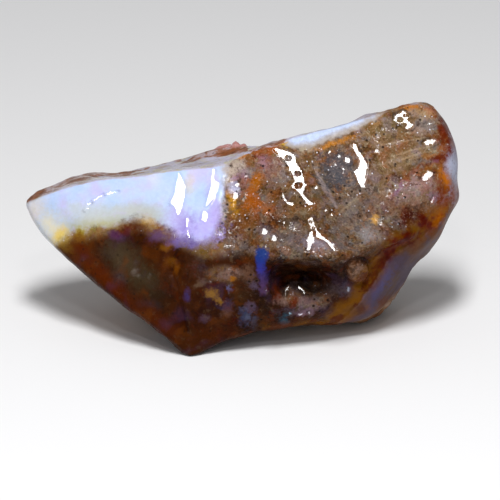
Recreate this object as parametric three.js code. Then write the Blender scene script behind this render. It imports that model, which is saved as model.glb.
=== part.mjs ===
// Rough opal: one broken lump, standing on a small flat of its underside.
//
// The stone is drawn in the frame of its broad face, in millimetres: u runs along the stone, v runs up the
// face, and w stands out of the face. Three closed loops give its form, from front to back: the edge of the
// broad face, the girdle where the stone is widest, and the edge of the back. Each loop has four sides that
// meet at the same four corners: the tip on the left, the peak at the top right, the heel at the lower right
// and the foot, the lowest point. A grid fills the face and the back, and bands of cells join the loops.
// Relief is then raised on the face, flakes are broken out all round and grit roughens the crust.
// At the end the face is leaned back, the underside is cut flat and the origin is set below the centre.

import * as THREE from "three";

// ---- Driving dimensions, in millimetres and degrees ----
const LEAN_DEG = 20; // the broad face leans back this far from upright
const BACK_CROWN = 1.6; // how far the middle of the back stands out from the surface its edge spans
const BASE_SAG = 1.1; // how far the underside bulges before it is cut flat

// ---- Mesh density, in cells ----
const CELLS_ALONG = 54; // from tip to peak, and from foot to heel
const CELLS_ACROSS = 28; // from tip to foot, and from peak to heel
const SHOULDER_ROWS = 5; // from the face's edge to the girdle
const FLANK_ROWS = 6; // from the girdle to the back's edge

// ---- The three loops, each side as [u, v, w] from corner to corner ----
const GIRDLE = {
  top: [
    [-21.3, 15.2, -7.2],
    [-20.5, 16.1, -8.0],
    [-18.9, 16.9, -9.5],
    [-16.6, 17.75, -11.0],
    [-13.4, 18.35, -12.0],
    [-9.5, 18.75, -12.5],
    [-7.2, 19.3, -12.5],
    [-6.0, 19.9, -12.3],
    [-3.3, 20.4, -12.0],
    [-0.5, 21.2, -11.5],
    [1.1, 20.75, -9.5],
    [3.2, 20.95, -6.0],
    [5.7, 21.75, -5.0],
    [9.6, 22.9, -5.0],
    [13.5, 24.05, -5.2],
    [16.0, 24.75, -5.4],
    [17.4, 25.1, -5.6],
    [18.4, 24.75, -6.0],
  ],
  right: [
    [18.4, 24.75, -6.0],
    [19.5, 23.6, -6.4],
    [20.3, 22.2, -6.8],
    [21.0, 20.7, -7.4],
    [21.25, 18.4, -8.0],
    [21.0, 17.0, -8.0],
    [21.35, 15.8, -8.4],
    [20.9, 15.0, -8.6],
    [20.2, 13.7, -8.8],
    [19.6, 11.9, -9.0],
    [18.45, 10.35, -9.2],
    [16.8, 9.0, -9.2],
    [16.4, 7.75, -9.0],
    [15.3, 6.2, -9.0],
    [14.2, 4.8, -9.0],
    [13.4, 3.7, -9.4],
    [12.3, 3.1, -9.6],
  ],
  bottom: [
    [12.3, 3.1, -9.6],
    [11.0, 3.25, -8.6],
    [9.6, 3.45, -5.5],
    [7.7, 3.3, -3.8],
    [4.7, 3.1, -2.6],
    [2.0, 2.75, -1.9],
    [-0.15, 2.25, -1.6],
    [-2.9, 1.05, -1.2],
    [-4.2, 0.3, -0.8],
    [-5.1, -0.15, -0.5],
  ],
  left: [
    [-5.1, -0.15, -0.5],
    [-5.8, 0.3, -0.7],
    [-7.0, 1.65, -1.0],
    [-8.9, 3.2, -1.5],
    [-11.4, 4.9, -2.3],
    [-13.8, 6.75, -3.6],
    [-16.0, 8.6, -4.9],
    [-17.9, 10.35, -6.0],
    [-19.7, 12.15, -6.9],
    [-20.75, 13.8, -7.2],
    [-21.3, 15.2, -7.2],
  ],
};

const FACE_EDGE = {
  top: [
    [-20.95, 15.1, -6.5],
    [-19.7, 15.6, -5.6],
    [-17.7, 16.4, -4.6],
    [-13.8, 17.5, -3.6],
    [-9.9, 17.9, -3.1],
    [-6.0, 18.35, -2.7],
    [-1.9, 18.8, -2.2],
    [0.3, 19.8, -2.2],
    [3.0, 20.75, -2.2],
    [5.7, 21.5, -2.4],
    [9.6, 22.6, -2.9],
    [13.5, 23.8, -3.4],
    [16.6, 24.6, -3.8],
    [18.0, 24.3, -4.0],
  ],
  right: [
    [18.0, 24.3, -4.0],
    [19.3, 22.7, -4.2],
    [20.0, 20.3, -4.2],
    [19.6, 18.8, -3.8],
    [20.0, 16.9, -4.0],
    [20.3, 15.1, -4.5],
    [19.6, 13.5, -4.2],
    [18.2, 11.8, -3.6],
    [15.7, 10.8, -2.6],
    [13.9, 9.4, -2.4],
    [12.7, 7.4, -2.6],
    [11.6, 5.5, -3.0],
    [10.1, 4.0, -3.4],
  ],
  bottom: [
    [10.1, 4.0, -3.4],
    [7.7, 3.6, -2.6],
    [4.7, 3.4, -1.6],
    [2.0, 2.95, -1.0],
    [-0.15, 2.45, -0.8],
    [-2.9, 1.35, -0.5],
    [-5.0, 0.3, 0.0],
  ],
  left: [
    [-5.0, 0.3, 0.0],
    [-7.0, 1.95, -0.2],
    [-8.9, 3.5, -0.6],
    [-11.4, 5.2, -1.4],
    [-13.8, 7.05, -2.6],
    [-16.0, 8.9, -3.8],
    [-17.9, 10.65, -5.0],
    [-19.6, 12.45, -6.0],
    [-20.5, 14.0, -6.4],
    [-20.95, 15.1, -6.5],
  ],
};

const BACK_EDGE = {
  top: [
    [-18.8, 14.8, -10.4],
    [-16.0, 15.3, -12.8],
    [-12.5, 15.4, -14.0],
    [-6.0, 16.2, -14.8],
    [0.0, 17.2, -14.9],
    [6.0, 18.4, -14.4],
    [12.0, 19.8, -13.6],
    [16.6, 20.6, -12.8],
  ],
  right: [
    [16.6, 20.6, -12.8],
    [18.6, 17.0, -12.6],
    [17.9, 13.2, -12.8],
    [16.2, 9.8, -13.6],
    [13.0, 5.1, -14.0],
  ],
  bottom: [
    [13.0, 5.1, -14.0],
    [9.0, 5.2, -14.3],
    [4.0, 5.3, -14.6],
    [-1.0, 5.35, -14.8],
    [-5.5, 5.4, -14.8],
  ],
  left: [
    [-5.5, 5.4, -14.8],
    [-9.6, 6.4, -14.4],
    [-13.0, 8.6, -13.6],
    [-16.0, 11.2, -12.2],
    [-18.2, 13.4, -10.8],
    [-18.8, 14.8, -10.4],
  ],
};

// ---- The crest of the broad face ----
// The face rises in a plane from its top edge to the crest and falls in another to its bottom edge.
// Each row is [share of the way from tip to peak, share of the way down the face, rise].
const CREST = [
  [0.0, 0.5, 0.0],
  [0.12, 0.46, 1.3],
  [0.3, 0.42, 2.2],
  [0.45, 0.46, 2.8],
  [0.62, 0.6, 3.9],
  [0.78, 0.66, 3.5],
  [0.92, 0.6, 1.8],
  [1.0, 0.5, 0.0],
];
const CREST_ROUNDING = 0.16; // as a share of the way down to an edge

// ---- Relief of the broad face ----
// A lump has its middle, its half sizes, its turn and its rise; a negative rise makes a hollow.
// A steep lump has a flat middle and steep sides.
const FACE_LUMPS = [
  // the milky part: two flutes with a scoop between them
  { at: [-6.2, 16.0], size: [1.4, 3.2], turn: -2, rise: 0.45 },
  { at: [-4.6, 15.4], size: [1.2, 3.0], turn: -4, rise: -0.4 },
  { at: [-3.0, 16.2], size: [1.2, 3.0], turn: -10, rise: 0.45 },
  { at: [-3.6, 12.6], size: [1.8, 1.4], rise: -0.35 },
  { at: [-12.6, 14.2], size: [4.5, 1.6], turn: 8, rise: 0.3 },
  // dark dish and the swellings round it
  { at: [9.2, 18.4], size: [1.9, 2.7], turn: 8, rise: -1.4 },
  { at: [14.2, 22.3], size: [1.9, 0.9], turn: 8, rise: -0.45 },
  { at: [16.3, 20.9], size: [3.4, 1.1], turn: 8, rise: 0.5 },
  { at: [15.6, 23.6], size: [1.5, 0.7], turn: 10, rise: 0.35 },
  // the cave under the crest, with a lump on its floor
  { at: [5.7, 7.9], size: [3.1, 1.6], turn: -6, rise: -3.4, steep: 4 },
  { at: [5.4, 6.7], size: [2.7, 1.9], rise: -1.9, steep: 3 },
  { at: [9.0, 6.9], size: [1.8, 1.4], turn: -20, rise: -1.0 },
  { at: [5.1, 5.9], size: [1.1, 1.0], rise: 1.4 },
  // knobs and lobes of the crust
  { at: [2.2, 12.2], size: [1.0, 1.0], rise: 0.55 },
  { at: [3.2, 12.0], size: [0.8, 0.7], rise: 0.3 },
  { at: [4.2, 15.7], size: [0.9, 0.8], rise: 0.35 },
  { at: [17.6, 16.0], size: [2.9, 1.1], turn: 10, rise: 0.8 },
  { at: [12.2, 13.4], size: [1.6, 1.5], rise: -0.5 },
  { at: [11.3, 8.4], size: [0.9, 0.9], rise: 0.35 },
  { at: [-2.0, 6.2], size: [1.4, 1.1], rise: 0.3 },
  { at: [0.6, 5.6], size: [0.9, 1.0], rise: -0.35 },
  { at: [-3.9, 9.9], size: [1.0, 0.8], rise: -0.4 },
  { at: [-0.6, 9.6], size: [0.8, 1.4], rise: -0.45 },
  { at: [-11.5, 9.0], size: [3.2, 2.2], turn: -30, rise: -0.4 },
  // the clean chip along the top edge
  { at: [8.2, 22.0], size: [4.8, 0.9], turn: 15, rise: -0.7 },
];

// A ridge runs along a line of points and fades away within its width; a negative rise makes a groove.
const FACE_RIDGES = [
  // the crest, below which the face turns down
  { along: [[-17, 10.9], [-10, 11.6], [-5, 11.4], [1, 10.4], [6, 10.4], [11, 10.4], [16, 12.4]], width: 1.6, rise: 0.4 },
  { along: [[3.4, 20.2], [4.9, 18.4], [5.8, 16.8], [7.0, 14.8]], width: 1.5, rise: 0.6 },
  { along: [[11.0, 21.0], [11.9, 18.9], [11.5, 16.6]], width: 0.85, rise: 0.6 },
  { along: [[7.1, 18.0], [8.3, 16.2], [9.4, 14.6]], width: 0.4, rise: 0.25 },
  { along: [[6.6, 13.8], [7.4, 12.2], [9.0, 10.5]], width: 0.6, rise: 0.45 },
  { along: [[6.6, 13.0], [6.3, 10.6]], width: 0.5, rise: 0.35 },
  { along: [[12.4, 15.8], [15.2, 17.2], [18.2, 18.9]], width: 0.8, rise: -0.6 },
  { along: [[2.2, 10.9], [1.7, 8.8], [2.4, 6.4], [3.2, 4.4]], width: 0.8, rise: 0.6 },
  { along: [[-6.2, 10.6], [-6.8, 8.2], [-6.2, 5.8], [-5.5, 2.8]], width: 0.5, rise: -0.3 },
  { along: [[-0.4, 8.2], [0.3, 7.4], [0.9, 7.9]], width: 0.4, rise: 0.3 },
];

// ---- Flakes broken out of the back, the top and the ends: balls whose surface the break follows ----
const FLAKES = [
  { centre: [-14.5, 16.5, -47.6], radius: 34 },
  { centre: [2.1, 22.2, -52.3], radius: 38 },
  { centre: [-3.1, 2.5, -44.3], radius: 30 },
  { centre: [15.7, 14.1, -47.5], radius: 34 },
  { centre: [9.5, 1.5, -39.8], radius: 26 },
  { centre: [26.9, 27.1, -30.7], radius: 24 },
  { centre: [-26.0, -2.1, -25.6], radius: 22 },
  { centre: [10.1, 36.0, -26.3], radius: 22 },
  { centre: [-12.5, 39.65, -6.9], radius: 22 },
  { centre: [-5.5, 32.6, -5.5], radius: 14 },
];

// ---- Grit: [size of a bump, height] in mm, on the sandy crust and on the smooth opal ----
const CRUST_GRIT = [[3.1, 0.3], [1.5, 0.2]];
const SMOOTH_GRIT = [[4.5, 0.1]];

const LEAN = THREE.MathUtils.degToRad(LEAN_DEG);
const { smoothstep, lerp } = THREE.MathUtils;

function lumpRise({ at, size, turn = 0, rise, steep = 2 }, u, v) {
  const angle = THREE.MathUtils.degToRad(turn);
  const [du, dv] = [u - at[0], v - at[1]];
  const along = (du * Math.cos(angle) + dv * Math.sin(angle)) / size[0];
  const across = (dv * Math.cos(angle) - du * Math.sin(angle)) / size[1];
  return rise * Math.exp(-Math.pow(Math.hypot(along, across), steep));
}

function distanceToSegment([au, av], [bu, bv], u, v) {
  const [eu, ev] = [bu - au, bv - av];
  const share = ((u - au) * eu + (v - av) * ev) / (eu * eu + ev * ev);
  const t = THREE.MathUtils.clamp(share, 0, 1);
  return Math.hypot(u - au - t * eu, v - av - t * ev);
}

function ridgeRise({ along, width, rise }, u, v) {
  const distances = along.slice(1).map((end, i) => distanceToSegment(along[i], end, u, v));
  return rise * Math.exp(-Math.pow(Math.min(...distances) / width, 2));
}

function faceRelief(u, v) {
  const lumps = FACE_LUMPS.reduce((sum, lump) => sum + lumpRise(lump, u, v), 0);
  return FACE_RIDGES.reduce((sum, ridge) => sum + ridgeRise(ridge, u, v), lumps);
}

// A repeatable random value from -1 to 1 for each whole-number corner of space.
function cornerValue(i, j, k) {
  const mixed = Math.sin(i * 127.1 + j * 311.7 + k * 74.7) * 43758.5453;
  return 2 * (mixed - Math.floor(mixed)) - 1;
}

// Smooth random relief with bumps about one unit across.
function bumpAt(x, y, z) {
  const [i, j, k] = [x, y, z].map(Math.floor);
  const [fx, fy, fz] = [x - i, y - j, z - k].map((f) => f * f * (3 - 2 * f));
  const row = (dj, dk) => lerp(cornerValue(i, j + dj, k + dk), cornerValue(i + 1, j + dj, k + dk), fx);
  return lerp(lerp(row(0, 0), row(1, 0), fy), lerp(row(0, 1), row(1, 1), fy), fz);
}

function gritAt(grit, p) {
  return grit.reduce((sum, [size, height]) => sum + height * bumpAt(p.x / size, p.y / size, p.z / size), 0);
}

// How sandy the surface is: 0 on smooth opal, 1 on full crust.
function crustiness(u, v, w) {
  const front = smoothstep(u, -3.5, 1.5) * (1 - 0.6 * smoothstep(u + 0.35 * (v - 12), 17.5, 20));
  const lowerLeft = 0.35 * (1 - smoothstep(v, 9, 12));
  const back = 0.5;
  return lerp(Math.max(front, lowerLeft), back, smoothstep(-w, 7, 11));
}

// ---- Loops ----

// Evenly spaced points from one corner of a loop to the next, without the last.
function sidePoints(side, cells) {
  const curve = new THREE.CatmullRomCurve3(side.map((p) => new THREE.Vector3(...p)), false, "centripetal");
  return curve.getSpacedPoints(cells).slice(0, cells);
}

// A whole loop, clockwise from the tip.
function loopPoints({ top, right, bottom, left }) {
  return [
    ...sidePoints(top, CELLS_ALONG),
    ...sidePoints(right, CELLS_ACROSS),
    ...sidePoints(bottom, CELLS_ALONG),
    ...sidePoints(left, CELLS_ACROSS),
  ];
}

// ---- Face and back: grids inside a loop ----

// The place in its loop of a grid's border point, or -1 inside the grid.
function borderIndex(i, j) {
  if (j === 0) return i;
  if (i === CELLS_ALONG) return CELLS_ALONG + j;
  if (j === CELLS_ACROSS) return 2 * CELLS_ALONG + CELLS_ACROSS - i;
  if (i === 0) return (2 * (CELLS_ALONG + CELLS_ACROSS) - j) % (2 * (CELLS_ALONG + CELLS_ACROSS));
  return -1;
}

// The surface that a loop spans: each grid point is blended from the four sides.
function spannedPoint(loop, i, j) {
  const [s, t] = [i / CELLS_ALONG, j / CELLS_ACROSS];
  const at = (a, b) => loop[borderIndex(a, b)];
  const sum = new THREE.Vector3()
    .addScaledVector(at(i, 0), 1 - t)
    .addScaledVector(at(i, CELLS_ACROSS), t)
    .addScaledVector(at(0, j), 1 - s)
    .addScaledVector(at(CELLS_ALONG, j), s);
  return sum
    .addScaledVector(at(0, 0), -(1 - s) * (1 - t))
    .addScaledVector(at(CELLS_ALONG, 0), -s * (1 - t))
    .addScaledVector(at(0, CELLS_ACROSS), -(1 - s) * t)
    .addScaledVector(at(CELLS_ALONG, CELLS_ACROSS), -s * t);
}

// How far a grid point of the face stands out from the surface its edge spans.
function crestRise(i, j) {
  const [s, t] = [i / CELLS_ALONG, j / CELLS_ACROSS];
  const next = Math.max(1, CREST.findIndex(([at]) => at >= s));
  const [before, after] = [CREST[next - 1], CREST[next]];
  const share = smoothstep(s, before[0], after[0]);
  const [crest, rise] = [lerp(before[1], after[1], share), lerp(before[2], after[2], share)];
  const away = (t - crest) / (t < crest ? crest : 1 - crest);
  return rise * Math.max(0, 1 - Math.hypot(away, CREST_ROUNDING) + CREST_ROUNDING * (1 - away * away));
}

function backRise(i, j) {
  const [s, t] = [i / CELLS_ALONG, j / CELLS_ACROSS];
  return BACK_CROWN * Math.pow(Math.sin(Math.PI * s), 0.7) * Math.pow(Math.sin(Math.PI * t), 0.9);
}

function facePoint(loop, i, j) {
  const p = spannedPoint(loop, i, j);
  p.z += crestRise(i, j) + faceRelief(p.x, p.y);
  return p;
}

function backPoint(loop, i, j) {
  const p = spannedPoint(loop, i, j);
  p.z -= backRise(i, j);
  return p;
}

// ---- Bands between the loops ----

const heightAboveBase = (p) => p.y * Math.cos(LEAN) + p.z * Math.sin(LEAN);

function blend(from, to, inPlane, inDepth) {
  return new THREE.Vector3(lerp(from.x, to.x, inPlane), lerp(from.y, to.y, inPlane), lerp(from.z, to.z, inDepth));
}

// From the face's edge to the girdle: straight on the left and the top, rounded at the right end.
function shoulderPoint(edge, girdle, share) {
  const turn = (share * Math.PI) / 2;
  const roundness = smoothstep(girdle.x, 9, 14);
  return blend(edge, girdle, lerp(share, Math.sin(turn), roundness), lerp(share, 1 - Math.cos(turn), roundness));
}

// From the girdle to the back's edge: rounded, but straight and sagging to the floor on the underside.
function flankPoint(girdle, edge, share) {
  const turn = (share * Math.PI) / 2;
  const underside = 1 - smoothstep(heightAboveBase(girdle), 2.2, 6);
  const p = blend(girdle, edge, lerp(1 - Math.cos(turn), share, underside), lerp(Math.sin(turn), share, underside));
  const sag = underside * BASE_SAG * 6.75 * share * share * (1 - share);
  p.y -= sag * Math.cos(LEAN);
  p.z -= sag * Math.sin(LEAN);
  return p;
}

// ---- The skin ----

// Collects points and four-sided cells, and turns them into triangles.
class Skin {
  points = [];
  faces = [];

  add(point) {
    return this.points.push(point) - 1;
  }

  cell(a, b, c, d) {
    this.faces.push(a, b, c, a, c, d);
  }

  // A grid of cells inside a ring of points that are already in the skin; outward turns its cells round.
  fill(ring, pointAt, facesFront) {
    const at = (i, j) => {
      const border = borderIndex(i, j);
      return border >= 0 ? ring[border] : inner[j - 1][i - 1];
    };
    const inner = Array.from({ length: CELLS_ACROSS - 1 }, (_, j) =>
      Array.from({ length: CELLS_ALONG - 1 }, (_, i) => this.add(pointAt(i + 1, j + 1))));
    for (let j = 0; j < CELLS_ACROSS; j++) {
      for (let i = 0; i < CELLS_ALONG; i++) {
        const corners = [at(i, j), at(i, j + 1), at(i + 1, j + 1), at(i + 1, j)];
        this.cell(...(facesFront ? corners : corners.reverse()));
      }
    }
  }

  // A band of cells from one ring of points to the next, which it returns.
  band(ring, nextPoints) {
    const next = nextPoints.map((p) => this.add(p));
    ring.forEach((_, i) => {
      const after = (i + 1) % ring.length;
      this.cell(ring[i], ring[after], next[after], next[i]);
    });
    return next;
  }

  geometry() {
    const made = new THREE.BufferGeometry().setFromPoints(this.points);
    made.setIndex(this.faces);
    made.computeVertexNormals();
    return made;
  }
}

function smoothStone() {
  const [faceEdge, girdle, backEdge] = [FACE_EDGE, GIRDLE, BACK_EDGE].map(loopPoints);
  const skin = new Skin();
  const raisedEdge = faceEdge.map((p) => new THREE.Vector3(p.x, p.y, p.z + faceRelief(p.x, p.y)));
  const faceRing = raisedEdge.map((p) => skin.add(p));
  skin.fill(faceRing, (i, j) => facePoint(faceEdge, i, j), true);
  let ring = faceRing;
  for (let row = 1; row <= SHOULDER_ROWS; row++) {
    ring = skin.band(ring, girdle.map((p, i) => shoulderPoint(raisedEdge[i], p, row / SHOULDER_ROWS)));
  }
  for (let row = 1; row <= FLANK_ROWS; row++) {
    ring = skin.band(ring, girdle.map((p, i) => flankPoint(p, backEdge[i], row / FLANK_ROWS)));
  }
  skin.fill(ring, (i, j) => backPoint(backEdge, i, j), false);
  return skin.geometry();
}

function eachPoint(geometry, change) {
  const { position, normal } = geometry.attributes;
  for (let i = 0; i < position.count; i++) {
    const p = new THREE.Vector3().fromBufferAttribute(position, i);
    change(p, new THREE.Vector3().fromBufferAttribute(normal, i));
    position.setXYZ(i, p.x, p.y, p.z);
  }
  geometry.computeVertexNormals();
}

function breakOutFlakes(geometry) {
  eachPoint(geometry, (p) => {
    for (const { centre, radius } of FLAKES) {
      const middle = new THREE.Vector3(...centre);
      if (p.distanceTo(middle) < radius) p.sub(middle).setLength(radius).add(middle);
    }
  });
}

function roughen(geometry) {
  eachPoint(geometry, (p, normal) => {
    const crust = crustiness(p.x, p.y, p.z);
    p.addScaledVector(normal, lerp(gritAt(SMOOTH_GRIT, p), gritAt(CRUST_GRIT, p), crust));
  });
}

// Leans the face back, cuts the underside flat at z = 0 and centres the stone over the origin.
function standOnBase(geometry) {
  geometry.rotateX(Math.PI / 2 - LEAN);
  eachPoint(geometry, (p) => p.setZ(Math.max(0, p.z)));
  geometry.computeBoundingBox();
  const centre = geometry.boundingBox.getCenter(new THREE.Vector3());
  geometry.translate(-centre.x, -centre.y, 0);
}

function opalGeometry() {
  const geometry = smoothStone();
  breakOutFlakes(geometry);
  roughen(geometry);
  standOnBase(geometry);
  return geometry;
}

const opalSurface = new THREE.MeshStandardMaterial({ color: 0x8a6a4c, roughness: 0.15, metalness: 0 });

const opal = new THREE.Mesh(opalGeometry(), opalSurface);
opal.name = "opal";

const stone = new THREE.Group();
stone.add(opal);

export default stone;
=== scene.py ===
"""Rough opal: one stone with a milky part, a sandy pitted crust and a small cave, on a plain pale floor."""

import math

import bpy
import numpy as np
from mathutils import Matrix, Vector


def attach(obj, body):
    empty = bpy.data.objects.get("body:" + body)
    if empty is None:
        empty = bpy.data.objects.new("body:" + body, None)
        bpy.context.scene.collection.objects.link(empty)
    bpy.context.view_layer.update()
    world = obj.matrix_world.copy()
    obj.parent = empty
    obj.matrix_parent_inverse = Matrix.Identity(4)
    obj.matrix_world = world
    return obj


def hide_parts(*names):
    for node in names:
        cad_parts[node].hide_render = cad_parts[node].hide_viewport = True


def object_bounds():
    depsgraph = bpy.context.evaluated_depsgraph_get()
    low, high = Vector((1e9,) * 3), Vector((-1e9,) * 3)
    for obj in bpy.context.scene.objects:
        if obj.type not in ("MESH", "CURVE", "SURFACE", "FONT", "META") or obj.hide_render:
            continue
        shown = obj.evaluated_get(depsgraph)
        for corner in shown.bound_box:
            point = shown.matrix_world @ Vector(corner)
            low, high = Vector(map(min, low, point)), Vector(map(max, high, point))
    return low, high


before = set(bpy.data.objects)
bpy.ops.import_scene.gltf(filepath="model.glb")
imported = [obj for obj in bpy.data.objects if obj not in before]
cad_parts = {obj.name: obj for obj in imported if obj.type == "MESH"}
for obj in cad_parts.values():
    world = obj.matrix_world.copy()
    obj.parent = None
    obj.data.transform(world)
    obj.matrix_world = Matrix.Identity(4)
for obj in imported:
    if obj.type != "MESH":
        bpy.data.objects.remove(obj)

CAD_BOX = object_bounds()
MM = 0.001

# ---- The broad face's own frame: u along the stone, v up the face, w out of it, in millimetres ----
LEAN = math.radians(20)
FACE_SHIFT = (0.050, 10.148)  # from the stone's origin to the face frame's, along x and y
ALONG = np.array([1.0, 0.0, 0.0])
UP = np.array([0.0, math.sin(LEAN), math.cos(LEAN)])
OUT = np.array([0.0, -math.cos(LEAN), math.sin(LEAN)])

# ---- Lines and outlines on the broad face, as (u, v) ----
MILKY_FOOT = [
    (-7.2, 12.8), (-8.9, 13.6), (-10.1, 13.9), (-11.9, 13.3), (-13.8, 13.0), (-15.3, 12.6), (-16.7, 12.2),
    (-17.7, 11.4), (-18.7, 10.5),
]
MILKY_PART = [
    (-22.6, 14.9), (-21.6, 20.3), (-11.9, 23.2), (-1.5, 23.2), (-1.4, 18.6), (-1.7, 16.9), (-1.9, 14.9),
    (-2.3, 13.3), (-2.9, 11.9), (-3.7, 11.2), (-5.0, 11.2), (-6.0, 11.9), *MILKY_FOOT, (-20.7, 11.5),
]
BROWN_PART = [
    *MILKY_FOOT[::-1], (-6.0, 11.8), (-5.0, 10.9), (-3.6, 10.9), (-1.9, 11.5), (-0.9, 9.4), (-0.1, 5.7),
    (-0.5, 1.3), (-5.0, -2.1), (-21.6, 5.7),
]
CLEAR_RIM = [
    (19.6, 24.4), (20.3, 20.8), (19.8, 19.5), (19.5, 18.2), (20.0, 16.6), (20.4, 15.2), (19.4, 13.2),
    (16.9, 11.4), (14.3, 9.8), (12.7, 7.1), (11.3, 5.2), (9.4, 3.4), (8.6, 0.8), (24.3, 5.7), (24.3, 26.2),
]
CHIP_FOOT = [(4.2, 20.7), (5.0, 20.3), (6.6, 20.5), (8.6, 21.3), (10.8, 22.1), (12.9, 23.1), (14.0, 24.1)]
CLEAN_CHIP = [(5.0, 21.9), (5.7, 23.2), (9.6, 24.4), (14.3, 25.2), *CHIP_FOOT[::-1]]
IRON_BAND = [
    (19.9, 20.4), (19.3, 18.8), (19.8, 17.2), (19.4, 15.4), (18.6, 13.6), (16.8, 12.2), (14.9, 11.1),
    (13.2, 9.5), (12.2, 7.6), (11.1, 5.7), (9.4, 4.0), (5.7, 3.3), (2.0, 2.9),
]
BLUE_STREAK = [(2.0, 10.1), (1.8, 9.2), (1.9, 8.1), (2.2, 6.9)]
CRACK = [(-6.2, 10.5), (-6.8, 9.4), (-6.7, 8.1), (-6.1, 6.6), (-5.7, 4.7), (-5.2, 2.7)]
CREASE = [(18.2, 19.5), (17.4, 18.8), (16.4, 17.6), (15.2, 16.3)]
TOP_EDGE = [
    (-22.0, 14.6), (-19.7, 15.6), (-17.7, 16.4), (-15.8, 17.0), (-13.8, 17.5), (-9.9, 17.9), (-6.0, 18.4),
    (-1.9, 18.8), (0.3, 19.8), (3.0, 20.75), (9.6, 22.6), (16.6, 24.6), (22.0, 25.5),
]
# As (u, how far above the top edge the pale ledge reaches)
PALE_LEDGE = [
    (-22.0, 0.1), (-12.0, 0.25), (-9.0, 0.3), (-7.0, 0.5), (-5.5, 0.7), (-4.0, 1.05), (-2.5, 1.15),
    (-1.0, 0.7), (0.6, 0.2), (1.2, -0.2), (4.0, -0.2), (5.0, 1.0), (22.0, 1.5),
]
TOP_KNOBS = [(-2.2, 0.5, 0.16), (-1.4, 0.5, 0.22), (-0.5, 0.42, 0.42), (0.2, 0.4, 0.24)]  # u, radius, height
PALE_VEIN = [(7.2, 18.1), (8.1, 16.4), (9.2, 14.6)]
SHELL_RING = ((11.3, 8.4), 1.25)  # a round fossil's middle and radius
# Painted shade: the colours are darkened below this line,
PAINTED_SHADE_LINE = [
    (-22.0, 13.0), (-18.5, 11.7), (-14.8, 12.3), (-9.9, 13.3), (-6.0, 11.7), (-3.6, 10.6), (-0.2, 10.9),
    (5.7, 10.0), (10.8, 10.2), (14.5, 12.3), (16.9, 13.7), (21.0, 15.4),
]
# and a little darker below this one.
HALF_PAINTED_SHADE_LINE = [
    (-22.0, 9.0), (-3.0, 12.0), (-0.5, 18.0), (6.0, 17.0), (9.0, 16.2), (13.0, 16.0), (16.0, 15.0),
    (21.0, 15.4),
]
HALF_PAINTED_SHADE = 0.36
# Spots where the painted shade is weaker, among them the cave's lit floor
LIGHTER_SPOTS = [  # middle, half sizes, share of the darkness that is taken away
    ((6.4, 6.0), (2.8, 1.4), 0.6),
    ((-1.6, 8.2), (2.0, 0.9), 0.3),
    ((11.3, 8.4), (1.3, 1.3), 0.5),
]

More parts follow.
